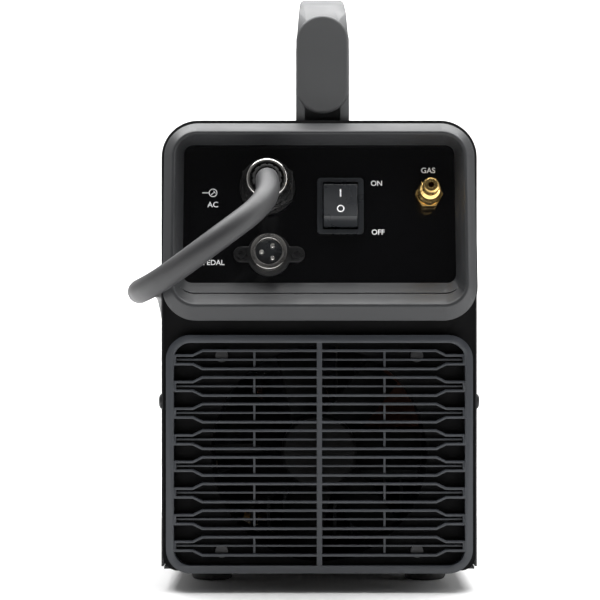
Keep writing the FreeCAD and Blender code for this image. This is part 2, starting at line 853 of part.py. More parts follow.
def handle():
    body = new_body("handle_body")
    half = S.handle_long / 2
    foot = S.case_high
    top = S.case_high + S.handle_rise
    low = S.case_high + S.grip_rise
    right = [(half, foot), (half, top - 18), (half - 9, top - 9.5), (half - 30, top - 2.5)]
    right.append((half - 66, top))
    outer = right + [(-x, y) for x, y in reversed(right)]
    right = [(half - 42, foot), (half - 47, low - 16), (half - 64, low)]
    under = [(-x, y) for x, y in right] + list(reversed(right))
    side = new_sketch(body, "YZ")
    draw_polygon(side, outer + under)
    arch = pad(body, side, S.handle_wide, both=True)

    def bends(middle, run):
        inside = abs(middle.y) < half.value - 40 and foot.value + 1 < middle.z < low.value + 1
        return abs(run.x) > 10 and inside

    soft = round_edges(body, arch, 14, bends)

    wide = S.handle_wide / 2
    for sx in (-1, 1):
        draft = new_sketch(body, "XZ")
        slope = [(wide * sx, top - 34), ((wide + 2) * sx, top - 34), ((wide + 2) * sx, top + 2)]
        draw_polygon(draft, slope + [((wide - 2.6) * sx, top + 2)])
        soft = pocket(body, draft, S.handle_long + 4, both=True)

    def upper(middle, run):
        edge = 9 < abs(middle.x) < wide.value - 0.3
        return edge and middle.z > top.value - 13 and abs(run.x) < 1

    rounded = round_edges(body, soft, 3, upper)

    def grip(middle, run):
        edge = abs(middle.x) > S.handle_wide.value / 2 - 0.1
        under_side = foot.value + 1 < middle.z < low.value + 1
        return edge and under_side and abs(middle.y) < half.value - 30

    round_edges(body, rounded, 5, grip)
    for lift in (half, -half):
        throat = new_sketch(body, "XZ", lift=lift)
        draw_rect(throat, 4.8 - wide, foot - 1, wide - 4.8, foot + 12)
        pocket(body, throat, 40, both=True)
    keep("handle_body", body, step(S.handle_x, 0, 0))
    for label, turn in (("handle_rear_cap", []), ("handle_front_cap", [TURN])):
        cap = new_body(label)
        face = new_sketch(cap, "XZ")
        side = wide - 0.1
        low_end = foot + 4.4
        high_end = top - 15.2
        draw_round_rect(face, -side, low_end, side, high_end, side - 0.1)
        pad(cap, face, 1.8)
        rim = new_sketch(cap, "XZ", lift=1.8)
        draw_round_rect(rim, -side, low_end, side, high_end, side - 0.1)
        crown = new_sketch(cap, "XZ", lift=3)
        edge = side - 1.2
        draw_round_rect(crown, -edge, low_end + 1.2, edge, high_end - 1.2, edge - 0.1)
        loft(cap, rim, crown)
        shift = S.handle_x if label == "handle_rear_cap" else S.handle_x * -1
        keep(label, cap, *turn, step(shift, -half, 0))


handle()

# ---- fan ----


def cooling_fan():
    back = -S.wall
    frame = new_body("fan_frame")
    square = new_sketch(frame, lift=back - S.fan_deep)
    half = S.fan / 2
    draw_round_rect(square, -half, -half, half, half, 5)
    draw_circle(square, 0, 0, S.fan_hole)
    for sx in (-1, 1):
        for sy in (-1, 1):
            draw_circle(square, (half - 7.5) * sx, (half - 7.5) * sy, 2.2)
    pad(frame, square, S.fan_deep)
    arms = new_sketch(frame, lift=back - S.fan_deep)
    draw_rect(arms, -S.fan_hole - 0.5, -2.5, S.fan_hole + 0.5, 2.5)
    pad(frame, arms, 3.5)
    more = new_sketch(frame, lift=back - S.fan_deep)
    draw_rect(more, -2.5, -S.fan_hole - 0.5, 2.5, S.fan_hole + 0.5)
    pad(frame, more, 3.5)
    hub = new_sketch(frame, lift=back - S.fan_deep)
    draw_circle(hub, 0, 0, 21)
    pad(frame, hub, 3.5)
    bearing = new_sketch(frame, lift=back - S.fan_deep + 5)
    draw_circle(bearing, 0, 0, 2.5 + S.running)
    pocket(frame, bearing, 10)
    keep("fan_frame", frame, *LOW_REAR)

    rotor = new_body("fan_rotor")
    low = back - S.fan_deep
    cup = [(0, low + 0.3), (2.5, low + 0.3), (2.5, low + 4.5), (20.5, low + 4.5)]
    cup += [(20.5, back - 6), (19, back - 4.5), (0, back - 4.5)]
    revolve(rotor, cup)
    blade = new_sketch(rotor, "YZ", lift=19)
    middle = back - S.fan_deep / 2
    along = (10.7, 9.2)
    thick = (-0.6, 0.7)
    corners = []
    for a, b in ((-1, -1), (1, -1), (1, 1), (-1, 1)):
        y = a * along[0] + b * thick[0]
        z = a * along[1] + b * thick[1]
        corners.append((y, middle + z))
    draw_polygon(blade, corners)
    wing = pad(rotor, blade, S.rotor - 19)
    flat = new_sketch(rotor)
    draw_circle(flat, 0, 0, 1)
    polar(rotor, [wing], flat, 7)
    keep("fan_rotor", rotor, *LOW_REAR)
    bolts = []
    for sx in (-1, 1):
        for sy in (-1, 1):
            x = (half - 7.5) * sx
            y = (half - 7.5) * sy
            bolts.append(rod(x, y, 0, 3.4, 2))
            bolts.append(rod(x, y, -14, 2.2, 15))
    keep("fan_screws", fuse("fan_screws", bolts), *LOW_REAR)


cooling_fan()

# ---- inside ----

board_z = size(66)
deck = board_z + 1.6


def heatsink():
    body = new_body("heatsink")
    slab = new_sketch(body, "XZ")
    draw_rect(slab, -58, board_z - 12, 58, board_z - 6)
    pad(body, slab, 190, both=True)
    fin = new_sketch(body, "XZ")
    draw_rect(fin, -58, S.base_z + 8, -56, board_z - 11)
    blade = pad(body, fin, 190, both=True)
    rows(body, [blade], fin, "H_Axis", 114, 13)
    keep("heatsink", body, step(0, -18, 0))


heatsink()
keep("power_board", box(-76, -125, board_z, 76, 120, deck))
posts = []
for x in (-70, 70):
    for y in (-118, 0, 112):
        posts.append(rod(x, y, S.base_z + S.skin, 3.5, board_z - S.base_z - S.skin))
keep("board_standoffs", fuse("board_standoffs", posts))
cans = []
for x in (-52, -16):
    for y in (-100, -64):
        cans.append(rod(x, y, deck, 16, 46))
keep("bulk_capacitors", fuse("bulk_capacitors", cans))

core = box(12, -60, deck, 72, 10, deck + 62)
legs = []
for x in (22, 47):
    legs.append(box(x, -70, deck + 12, x + 15, 20, deck + 50))
keep("transformer_core", cut("transformer_core", core, fuse("core_windows", legs)))
coil_out = box(24, -72, deck + 14, 60, 22, deck + 48)
middle_leg = box(36.8, -60, deck + 10, 47.2, 10, deck + 52)
keep("transformer_winding", cut("transformer_winding", coil_out, middle_leg))

choke = new_body("output_inductor")
revolve(choke, [(16, 0), (36, 0), (38, 3), (38, 29), (36, 32), (16, 32), (14, 29), (14, 3)])
keep("output_inductor", choke, step(-30, 45, deck))

keep("control_board", box(0, 0, 0, 124, 66, 1.6), *FRONT, step(-62, -30, -48))
block = box(-15, -15, -60, 15, 15, -25)
can = box(-12, -34, -56, 12, -14, -30)
valve = fuse("solenoid_valve", [block, rod(0, 0, -25, 9, 9.4), can])
keep("solenoid_valve", valve, *on_plate(REAR, S.gas_x, S.gas_v))

# ---- front panel ----

left_x = size(-52)
mid_x = size(-22)
button_x = size(4)
panel_plate(
    "control_plate",
    FRONT,
    [
        (S.knob_x, S.knob_v, S.shaft_r + S.running),
        (left_x, S.trim_v, S.shaft_r + S.running),
        (mid_x, S.trim_v, S.shaft_r + S.running),
        (button_x, 32, S.button_r + 0.1),
        (button_x, 14, S.button_r + 0.1),
    ],
    [],
)


def knob(label, radius, height, u, v, flutes):
    body = new_body(label)
    low = 0.5
    side = [(0, -12), (S.shaft_r, -12), (S.shaft_r, low), (radius, low), (radius, low + 2.5)]
    side += [(radius - 2.5, low + 4), (radius - 3.2, height - 1.5), (radius - 4.7, height), (0, height)]
    revolve(body, side)
    flute = new_sketch(body, lift=height + 1)
    draw_circle(flute, radius - 1.4, 0, 2.2)
    groove = pocket(body, flute, height - 5.5)
    polar(body, [groove], flute, flutes)
    keep(label, body, *on_plate(FRONT, u, v))


knob("current_knob", S.knob_r, 16.0, S.knob_x, S.knob_v, 12)
knob("downslope_knob", S.trim_r, 11.0, left_x, S.trim_v, 6)
knob("postflow_knob", S.trim_r, 11.0, mid_x, S.trim_v, 6)
for label, v in (("mode_button", 32), ("trigger_button", 14)):
    cap = new_body(label)
    stem = S.button_r - S.apart
    edge = [(0, -6), (2, -6), (2, -5), (stem, -5), (stem, 2.4), (stem - 0.8, 3.2), (0, 3.2)]
    revolve(cap, edge)
    keep(label, cap, *on_plate(FRONT, button_x, v))

glass = new_body("display_window")
pane = new_sketch(glass)
draw_round_rect(pane, -64, 16, -10, 38, 3)
pad(glass, pane, 1.4)
keep("display_window", glass, *on_plate(FRONT, 0, 0))
lamps = []
for i in range(4):
    lamps.append(cone(-58 + 14 * i, 7, 0, 2.1, 1.5, 1.4))
keep("indicator_lenses", fuse("indicator_lenses", lamps), *on_plate(FRONT, 0, 0))

# ---- lower front plate and its sockets ----


def connector_plate():
    body = new_body("connector_plate")
    half_w = S.grille_wide / 2
    half_h = S.grille_high / 2
    slab = new_sketch(body)
    draw_round_rect(slab, -half_w, -half_h, half_w, half_h, 13)
    pad(body, slab, 5)
    dish = new_sketch(body, lift=5)
    draw_round_rect(dish, 5 - half_w, 5 - half_h, half_w - 5, half_h - 5, 9)
    pocket(body, dish, 2)
    holes = new_sketch(body, lift=6)
    for sx in (-1, 1):
        draw_circle(holes, S.output_x * sx, S.output_v, 17.2)
    draw_circle(holes, 22, 14, 8.1)
    draw_circle(holes, 7, 14, 1.6)
    draw_circle(holes, 37, 14, 1.6)
    draw_circle(holes, -22, 14, 5.1)
    pocket(body, holes, 8)
    vents = new_sketch(body, lift=6)
    draw_rect(vents, -66, 54, 66, 56.5)
    slot = pocket(body, vents, 4.4)
    rows(body, [slot], vents, "V_Axis", 18, 4)
    body.Tip.Reversed = True
    keep("connector_plate", body, *LOW_FRONT)


connector_plate()
shells = []
for sx, name in ((-1, "negative"), (1, "positive")):
    spot = (S.output_x * sx, S.output_v)
    ring = fuse("ring", [rod(*spot, -16, 17, 24), rod(*spot, 3, 21, 4), rod(*spot, 7, 16.5, 7)])
    shells.append(cut("insulator", ring, rod(*spot, -20, 11.5, 40)))
    contact = new_body("output_contact_" + name)
    sleeve = [(6.6, -24), (11.45, -24), (11.45, 11.5), (6.6, 11.5)]
    revolve(contact, sleeve)
    key = new_sketch(contact, lift=14)
    draw_rect(key, 4, -2, 9.6, 2)
    pocket(contact, key, 14)
    keep("output_contact_" + name, contact, *LOW_FRONT, step(*spot, 0))
keep("output_insulators", fuse("output_insulators", shells), *LOW_FRONT)

torch = LOW_FRONT + [step(22, 14, 3)]
round_socket("torch_socket", torch, 5, 90)
outlet = new_body("gas_outlet")
tap = [(2, -16), (4.9, -16), (4.9, 0), (9, 0), (9, 3), (7.2, 4), (7.2, 13.5), (6.2, 14.5), (2, 14.5)]
revolve(outlet, tap)
keep("gas_outlet", outlet, *LOW_FRONT, step(-22, 14, 3))

# ---- mains lead: a tube of straight runs and tangent arcs, a coil and a plug ----


def tube(points, radius):
    """A closed tube along straight runs joined by tangent arcs."""
    runs = [b - a for a, b in zip(points, points[1:])]
    shapes = []
    start = points[0]
    for i in range(1, len(points) - 1):
        before = runs[i - 1]
        after = runs[i]
        turn = before.getAngle(after)
        reach = 0.45 * min(before.Length, after.Length)
        bend = reach / math.tan(turn / 2)
        towards = Vector(before).normalize()
        away = Vector(after).normalize()
        enter = points[i] - towards * reach
        leave = points[i] + away * reach
        inward = (away - towards).normalize()
        centre = points[i] + inward * math.hypot(bend, reach)
        middle = centre - inward * bend
        shapes.append(Part.LineSegment(start, enter).toShape())
        shapes.append(Part.Arc(enter, middle, leave).toShape())
        print(f"  turn {i}: {math.degrees(turn):5.1f} deg, radius {bend:6.1f} mm")
        start = leave
    shapes.append(Part.LineSegment(start, points[-1]).toShape())
    wire = Part.Wire(shapes)
    ring = Part.Circle(points[0], runs[0], radius).toShape()
    solid = wire.makePipeShell([Part.Wire([ring])], True, False)
    ideal = math.pi * radius**2 * wire.Length
    print(f"  lead {wire.Length:.0f} mm, volume {solid.Volume:.0f}, section x length {ideal:.0f}")
    return solid


doc.recompute()
cord_r = S.cord_r.value
out = Vector(0, -trig("cos", S.tilt).value, trig("sin", S.tilt).value)
up = Vector(0, trig("sin", S.tilt).value, trig("cos", S.tilt).value)
panel = Vector(0, -face_y.value, face_z.value)
gland = panel + Vector(S.gland_x.value, 0, 0) + up * S.gland_v.value - out * S.lip.value
exit_point = gland + out * S.gland_long.value
side_x = -(S.case_wide.value / 2 + 9.5)
near_y = -face_y.value
coil_end = Vector(S.coil_x.value - S.coil_r.value, S.coil_y.value, cord_r + 0.05)
route = [
    gland,
    exit_point + out * 11.8,
    exit_point + Vector(2.1, -45.2, -13.9),
    exit_point + Vector(-22.8, -65.3, -33.7),
    exit_point + Vector(-52.1, -55, -54.8),
    Vector(side_x - 1, near_y - 29.5, exit_point.z - 61.4),
    Vector(side_x, near_y + 29.4, exit_point.z - 59),
    Vector(side_x - 0.6, near_y + 124.4, exit_point.z - 56),
    Vector(side_x, near_y + 219.4, exit_point.z - 61.6),
    Vector(side_x - 0.3, near_y + 294.4, 122),
    Vector(side_x, near_y + 354.4, 68),
    Vector(side_x - 0.3, near_y + 397.4, 24),
    Vector(side_x, near_y + 439.4, coil_end.z),
    coil_end,
]
lead = doc.addObject("Part::Feature", "mains_lead")
lead.Shape = tube(route, cord_r)
keep("mains_lead", lead)

coil = new_body("mains_lead_coil")
outside = S.coil_r + S.cord_r
inside = S.coil_in - S.cord_r
tall = S.cord_r * 4
bevel = S.cord_r * 0.6
wreath = [(inside + bevel, 0), (outside - bevel, 0), (outside, bevel), (outside, tall - bevel)]
wreath += [(outside - bevel, tall), (inside + bevel, tall), (inside, tall - bevel), (inside, bevel)]
revolve(coil, wreath)
tail = new_sketch(coil, "YZ")
draw_circle(tail, S.coil_r, S.plug_r, S.cord_r)
tail_long = S.coil_r - 20
pad(coil, tail, tail_long)
keep("mains_lead_coil", coil, step(S.coil_x, S.coil_y, 0))

plug = new_body("mains_plug")
big = S.plug_r
body_line = [(0, 0), (6.6, 0), (7.4, 12), (9, 22), (15, 27), (big, 31), (big, 50), (big - 1.5, 54)]
revolve(plug, body_line + [(0, 54)])
prongs = new_sketch(plug, lift=54)
draw_circle(prongs, -9.5, 0, 2.4)
draw_circle(prongs, 9.5, 0, 2.4)
draw_circle(prongs, 0, 9, 2.4)
pad(plug, prongs, 19)
plug_x = S.coil_x + tail_long
keep("mains_plug", plug, step(plug_x, S.coil_y + S.coil_r, S.plug_r, "Y", 90))

width = S.coil_r - S.coil_in + 2 * S.cord_r
band = box(-5, -width / 2 - 1.2, 0, 5, width / 2 + 1.2, tall + 1.2)
space = box(-6, -width / 2, 1.2, 6, width / 2, tall)
strap = cut("lead_tie", band, space)
keep("lead_tie", strap, step(S.coil_x, S.coil_y - (S.coil_r + S.coil_in) / 2, 0))

# ---- checks and export ----

doc.recompute()
bad = []
for item in doc.Objects:
    if "Invalid" in item.State or "Error" in item.State:
        bad.append(f"{item.Label}: {item.State}")
faces = 0
for label, item in NODES.items():
    shape = item.Shape
    if shape.isNull() or not shape.isValid() or not shape.Solids:
        bad.append(f"{label}: no valid solid")
        continue
    faces += len(shape.Faces)
    b = shape.BoundBox
    spread = f"x {b.XMin:.1f} {b.XMax:.1f}  y {b.YMin:.1f} {b.YMax:.1f}  z {b.ZMin:.1f} {b.ZMax:.1f}"
    print(f"{label:24s} solids {len(shape.Solids):2d}  volume {shape.Volume / 1000:8.1f} cm3  {spread}")
print(f"{len(NODES)} nodes, {faces} faces")
if bad:
    raise RuntimeError("; ".join(bad))
os.makedirs("parts", exist_ok=True)
for label, item in NODES.items():
    item.Shape.exportStep(f"parts/{label}.step")
print("exported")
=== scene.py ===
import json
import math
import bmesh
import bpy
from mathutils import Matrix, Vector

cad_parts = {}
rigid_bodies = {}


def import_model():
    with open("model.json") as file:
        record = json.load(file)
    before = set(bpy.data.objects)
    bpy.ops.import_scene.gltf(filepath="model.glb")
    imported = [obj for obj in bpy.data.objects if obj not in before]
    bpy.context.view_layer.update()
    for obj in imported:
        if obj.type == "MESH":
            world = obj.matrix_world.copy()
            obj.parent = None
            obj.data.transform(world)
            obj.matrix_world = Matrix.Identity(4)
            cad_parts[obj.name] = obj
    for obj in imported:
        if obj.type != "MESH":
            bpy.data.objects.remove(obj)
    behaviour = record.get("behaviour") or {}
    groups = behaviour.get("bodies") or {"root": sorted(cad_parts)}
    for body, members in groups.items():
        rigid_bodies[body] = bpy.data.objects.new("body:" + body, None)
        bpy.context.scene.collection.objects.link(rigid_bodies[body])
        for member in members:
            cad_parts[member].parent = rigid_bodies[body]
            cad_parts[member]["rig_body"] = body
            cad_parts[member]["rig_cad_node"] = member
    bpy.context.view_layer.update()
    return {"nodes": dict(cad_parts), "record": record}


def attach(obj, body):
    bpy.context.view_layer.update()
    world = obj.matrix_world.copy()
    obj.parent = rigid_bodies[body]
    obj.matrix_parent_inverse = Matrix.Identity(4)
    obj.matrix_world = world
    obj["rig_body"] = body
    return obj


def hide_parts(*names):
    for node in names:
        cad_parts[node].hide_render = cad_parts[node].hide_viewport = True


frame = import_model()

# %% [markdown]
# # A TIG welding machine, seen from its mains side
# The engineering model is already loaded: every fixed panel, fitting and joint
# sits where it belongs, in metres. This lesson dresses it. It sets the camera
# first, then lays the mains lead, mixes the finishes, rounds the edges that
# catch light, and adds the small printed and turned details.

MM = 0.001
nodes = frame["nodes"]


def clear_selection():
    """Deselect everything, because an operator works on all that is selected."""
    if bpy.context.object and bpy.context.object.mode != "OBJECT":
        bpy.ops.object.mode_set(mode="OBJECT")
    bpy.ops.object.select_all(action="DESELECT")


def pick(piece):
    """Make one piece the only selected and active object."""
    clear_selection()
    piece.select_set(True)
    bpy.context.view_layer.objects.active = piece
    return piece


# %% [markdown]
# ## Camera
# The machine stands square to the camera, at half its height. A long lens keeps
# the sides nearly parallel, as a catalogue view does. The camera looks straight
# along +Y, so it needs no shift.

# %% Place the camera
camera_data = bpy.data.cameras.new("studio_camera")
camera = bpy.data.objects.new("studio_camera", camera_data)
bpy.context.scene.collection.objects.link(camera)
MID_HEIGHT = 0.1567
DISTANCE = 1.290
ASIDE = -0.0104
camera.location = (ASIDE, -DISTANCE, MID_HEIGHT)
camera.rotation_euler = (math.radians(90), 0, 0)
camera_data.lens = 123.4
camera_data.sensor_width = 36
bpy.context.scene.camera = camera
bpy.context.scene.view_settings.view_transform = "Standard"
print("camera at", [round(v, 3) for v in camera.location])

# %% [markdown]
# ## Panel frames
# Both upper panels lean back by 12 degrees. Every fitting is easiest to place in
# the panel's own flat coordinates: u to the right, v up, w outward. A matrix for
# each panel then carries the fitting to its place. The front panel is the rear
# one turned half a turn about the vertical.

# %% Frames of the two tilted panels and the lower front
TILT = math.radians(12)
PLATE = -7.5
HALF_TURN = Matrix.Rotation(math.pi, 4, "Z")
UPRIGHT = Matrix.Rotation(math.pi / 2, 4, "X")
REAR = Matrix.Translation(Vector((0, -189.40, 198.95)) * MM)
REAR = REAR @ Matrix.Rotation(math.pi / 2 - TILT, 4, "X")
FRONT = HALF_TURN @ REAR
LOW_REAR = Matrix.Translation(Vector((0, -183, 74.15)) * MM) @ UPRIGHT
LOW_FRONT = HALF_TURN @ LOW_REAR


def spot(panel, u, v, w=0.0):
    """A frame on a panel at u, v and w, given in millimetres."""
    return panel @ Matrix.Translation(Vector((u, v, w)) * MM)


rear_plate = spot(REAR, 0, 0, PLATE)
front_plate = spot(FRONT, 0, 0, PLATE)
gland = spot(rear_plate, -28, 20.5)
print("gland at", [round(v * 1000, 1) for v in gland.translation])

# %% [markdown]
# ## Mains lead
# A rubber-sheathed lead, 12.4 mm thick and 2.5 m long, comes out of the cable
# gland, sags across the panel, folds back past the left side, comes down to the
# floor and is put away as a coil behind the machine, with its plug beside it.
# A NURBS curve of order 3 gives one smooth line from a short list of points.
# The coil's turns are more points of the same curve, made by a loop: it winds
# inward on the floor and back outward on top.

# %% Lay out the lead's route, in millimetres
cord_r = 6.2
on_floor = cord_r + 0.05
route = [
    (-28.0, -177.8, 217.4),
    (-28.0, -208.9, 224.1),
    (-25.9, -242.6, 207.7),
    (-50.8, -262.7, 187.9),
    (-80.1, -252.4, 166.8),
    (-96.0, -218.9, 160.2),
    (-95.0, -160.0, 162.6),
    (-95.6, -65.0, 165.6),
    (-95.0, 30.0, 160.0),
    (-95.3, 105.0, 122.0),
    (-95.0, 165.0, 68.0),
    (-95.3, 208.0, 24.0),
    (-95.0, 250.0, on_floor),
]
coil_x, coil_y = -19.0, 306.0
turn_out, turn_in = 76.0, 47.6
turns = 4.25
points_per_turn = 16
steps = round(turns * points_per_turn)
climb_start, climb_span = 0.44, 0.12
for i in range(steps + 1):
    share = i / steps
    angle = math.pi - share * turns * 2 * math.pi
    inward = 1 - abs(2 * share - 1)
    radius = turn_out - (turn_out - turn_in) * inward
    climb = min(max((share - climb_start) / climb_span, 0), 1)
    height = on_floor + 2 * cord_r * climb * climb * (3 - 2 * climb)
    x = coil_x + radius * math.cos(angle)
    y = coil_y + radius * math.sin(angle)
    route.append((x, y, height))
plug_axis = 19.0
far_side = coil_y + turn_out
route += [(10, far_side, plug_axis), (28, far_side, plug_axis), (46, far_side, plug_axis)]
print("route points:", len(route))

# %% Make the lead
lead_curve = bpy.data.curves.new("mains_lead_line", "CURVE")
lead_curve.dimensions = "3D"
line = lead_curve.splines.new("NURBS")
line.points.add(len(route) - 1)
for point, place in zip(line.points, route):
    point.co = (*[c * MM for c in place], 1)
    point.radius = cord_r * MM
line.order_u = 3
line.use_endpoint_u = True
lead_curve.resolution_u = 8
lead_curve.bevel_depth = 1.0  # a metre, times each point's radius
lead_curve.bevel_resolution = 6
lead_curve.use_fill_caps = True
lead = bpy.data.objects.new("mains_lead_sheath", lead_curve)
bpy.context.scene.collection.objects.link(lead)
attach(lead, "machine")
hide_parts("mains_lead", "mains_lead_coil")
print("lead made")

# %% [markdown]
# ## Finishes
# Almost everything here is black or grey, so the finishes have to differ in how
# they scatter light: powder coat has a fine orange peel, moulded housings a
# leathery grain, the panel film is glossy, rubber is dull. One helper builds a
# finish from layered noise: slow noise shifts the colour, medium noise the
# roughness, and fine noise the bump.

# %% A helper for mottled finishes
finishes = {}


def add_node(tree, kind, x, y, **values):
    """Add a node, and set the inputs that are named."""
    node = tree.nodes.new(kind)
    node.location = (x, y)
    for name, value in values.items():
        node.inputs[name.replace("_", " ")].default_value = value
    return node


def mottled(name, colour, rough, grain, depth, shift=0.12, spread=0.06,
            metal=0.0, stretch=(1, 1, 1), coat=0.0, glint=0.5):
    """A surface whose colour, gloss and relief all vary a little.

    rough is the middle roughness and spread how far it strays either way; shift
    is how far the colour does. grain is the fine noise's scale, and depth its
    relief in millimetres. glint is the strength of the plain reflection.
    """
    material = bpy.data.materials.new(name)
    material.use_nodes = True
    tree = material.node_tree
    link = tree.links.new
    shader = tree.nodes["Principled BSDF"]
    shader.inputs["Metallic"].default_value = metal
    shader.inputs["Specular IOR Level"].default_value = glint
    shader.inputs["Coat Weight"].default_value = coat
    shader.inputs["Coat Roughness"].default_value = 0.15
    place = add_node(tree, "ShaderNodeTexCoord", -1200, 0)
    scale = add_node(tree, "ShaderNodeMapping", -1000, 0, Scale=stretch)
    link(place.outputs["Object"], scale.inputs["Vector"])
    slow = add_node(tree, "ShaderNodeTexNoise", -780, 240, Scale=22.0, Detail=4.0)
    medium = add_node(tree, "ShaderNodeTexNoise", -780, 0, Scale=90.0, Detail=6.0)
    fine = add_node(tree, "ShaderNodeTexNoise", -780, -260, Scale=grain, Detail=2.0)
    for noise in (slow, medium, fine):
        link(scale.outputs["Vector"], noise.inputs["Vector"])
    tint = add_node(tree, "ShaderNodeValToRGB", -540, 240)
    dark, light = tint.color_ramp.elements
    dark.position, light.position = 0.3, 0.7
    dark.color = (*[c * (1 - shift) for c in colour], 1)
    light.color = (*[min(c * (1 + shift), 1) for c in colour], 1)
    gloss = add_node(tree, "ShaderNodeMapRange", -540, 0, From_Min=0.25, From_Max=0.75)
    gloss.inputs["To Min"].default_value = max(rough - spread, 0.02)
    gloss.inputs["To Max"].default_value = min(rough + spread, 1)
    relief = add_node(tree, "ShaderNodeBump", -320, -260, Strength=1.0, Distance=depth * MM)
    link(slow.outputs["Fac"], tint.inputs["Fac"])
    link(medium.outputs["Fac"], gloss.inputs["Value"])
    link(fine.outputs["Fac"], relief.inputs["Height"])
    link(tint.outputs["Color"], shader.inputs["Base Color"])
    link(gloss.outputs["Result"], shader.inputs["Roughness"])
    link(relief.outputs["Normal"], shader.inputs["Normal"])
    finishes[name] = material
    return material


# %% Paints and mouldings of the case
GREY = (0.034, 0.035, 0.037)
mottled("cover_paint", (0.010, 0.010, 0.011), 0.40, 900, 0.03)
mottled("tray_steel", (0.012, 0.012, 0.013), 0.45, 900, 0.03)
mottled("black_plastic", (0.002, 0.002, 0.0023), 0.55, 1500, 0.03, glint=0.08)
mottled("bezel_grey", GREY, 0.40, 1700, 0.035, shift=0.05, glint=0.4)
mottled("handle_grey", (0.100, 0.102, 0.105), 0.46, 1700, 0.035, shift=0.05)
# handle_dark is the handle's grey plastic made darker. It is painted shade for the handle
# faces that turn away from the overhead light.
mottled("handle_dark", (0.070, 0.071, 0.073), 0.5, 1700, 0.03, shift=0.05)
mottled("panel_gloss", (0.0025, 0.0025, 0.003), 0.13, 500, 0.004, spread=0.04)
mottled("grille_grey", (0.034, 0.038, 0.045), 0.40, 1700, 0.03)
mottled("switch_black", (0.022, 0.024, 0.027), 0.30, 1800, 0.02)
mottled("gland_black", (0.006, 0.006, 0.006), 0.30, 1400, 0.03)
mottled("knob_plastic", (0.018, 0.018, 0.019), 0.45, 1400, 0.03)
mottled("button_plastic", (0.42, 0.018, 0.015), 0.3, 1400, 0.01)
mottled("fan_plastic", (0.002, 0.002, 0.002), 0.55, 1400, 0.03, glint=0.15)

# %% Rubber, metals and glass
mottled("rubber_black", (0.014, 0.014, 0.014), 0.62, 1200, 0.05)
mottled("lead_black", (0.036, 0.036, 0.038), 0.5, 1300, 0.06, shift=0.1)
mottled("socket_metal", (0.72, 0.70, 0.67), 0.14, 700, 0.004, metal=1.0)
mottled("pin_metal", (0.88, 0.86, 0.82), 0.3, 700, 0.004, metal=1.0)
mottled("brass", (0.88, 0.60, 0.22), 0.24, 600, 0.01, metal=1.0)
mottled("zinc_steel", (0.55, 0.55, 0.53), 0.32, 500, 0.01, metal=1.0)
mottled("black_steel", (0.035, 0.035, 0.036), 0.35, 800, 0.01, metal=0.7)
mottled("window_glass", (0.022, 0.003, 0.004), 0.08, 300, 0.002, spread=0.03, coat=1.0)
mottled("lens", (0.09, 0.42, 0.12), 0.15, 300, 0.002, coat=0.6)
mottled("white_print", (0.95, 0.95, 0.95), 0.5, 900, 0.004, shift=0.03)
mottled("red_print", (0.16, 0.012, 0.012), 0.4, 900, 0.004, shift=0.03)

# %% Parts behind the grille
mottled("circuit", (0.003, 0.012, 0.006), 0.5, 300, 0.03, shift=0.4, glint=0.15)
mottled("aluminium", (0.035, 0.036, 0.037), 0.5, 400, 0.02, metal=1.0, stretch=(8, 1, 8))
mottled("ferrite", (0.006, 0.006, 0.0065), 0.6, 700, 0.05, glint=0.15)
mottled("copper", (0.05, 0.014, 0.005), 0.45, 300, 0.05, metal=0.6, stretch=(1, 1, 6))
mottled("can", (0.005, 0.006, 0.010), 0.4, 400, 0.01, glint=0.2)
print("finishes:", len(finishes))

# %% Dress every CAD node in its slot's finish
slots = {s["node"]: s["material_slot"] for s in frame["record"]["subparts"]}
for name, node in nodes.items():
    for slot in node.material_slots:
        slot.material = finishes[slots[name]]
lead.data.materials.append(finishes["lead_black"])


def finish_piece(piece, name, slot_name, place=None, body="machine"):
    """Name a piece, carry its mesh to its place, and hand it to its body."""
    piece.name = name
    if place is not None:
        piece.data.transform(place)
    piece.data.materials.clear()
    piece.data.materials.append(finishes[slot_name])
    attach(piece, body)
    return piece


# %% [markdown]
# ## Soft edges
# A moulded part has no knife edges: each one is rounded by half a millimetre or
# so, and that thin round is what shows as a bright line. The helper copies a
# node's mesh, welds its loose triangles, dissolves the flat ones into whole
# faces, and lets a Bevel modifier round every edge sharper than an angle.

# %% A helper that rounds a node's edges


def welded_copy(name):
    """A copy of a node's mesh with its triangles joined into whole faces."""
    piece = nodes[name].copy()
    piece.data = nodes[name].data.copy()
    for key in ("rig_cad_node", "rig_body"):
        if key in piece:
            del piece[key]
    piece.parent = None
    bpy.context.scene.collection.objects.link(piece)
    pick(piece)
    bpy.ops.object.mode_set(mode="EDIT")
    bpy.ops.mesh.select_all(action="SELECT")
    bpy.ops.mesh.remove_doubles(threshold=0.00001)
    bpy.ops.mesh.dissolve_limited(angle_limit=math.radians(1.0))
    bpy.ops.object.mode_set(mode="OBJECT")
    return piece


def round_edges(piece, width, angle=28):
    """Round the edges that are sharper than an angle, by a width in millimetres."""
    pick(piece)
    bevel = piece.modifiers.new("edge", "BEVEL")
    bevel.width = width * MM
    bevel.segments = 2
    bevel.limit_method = "ANGLE"
    bevel.angle_limit = math.radians(angle)
    bpy.ops.object.modifier_apply(modifier=bevel.name)
    bpy.ops.object.shade_smooth_by_angle(angle=math.radians(32))


def soften(name, width):
    """Show a node with rounded edges in place of its sharp one."""
    body = nodes[name]["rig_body"]
    piece = welded_copy(name)
    round_edges(piece, width)
    finish_piece(piece, name + "_rounded", slots[name], body=body)
    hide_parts(name)
    return piece


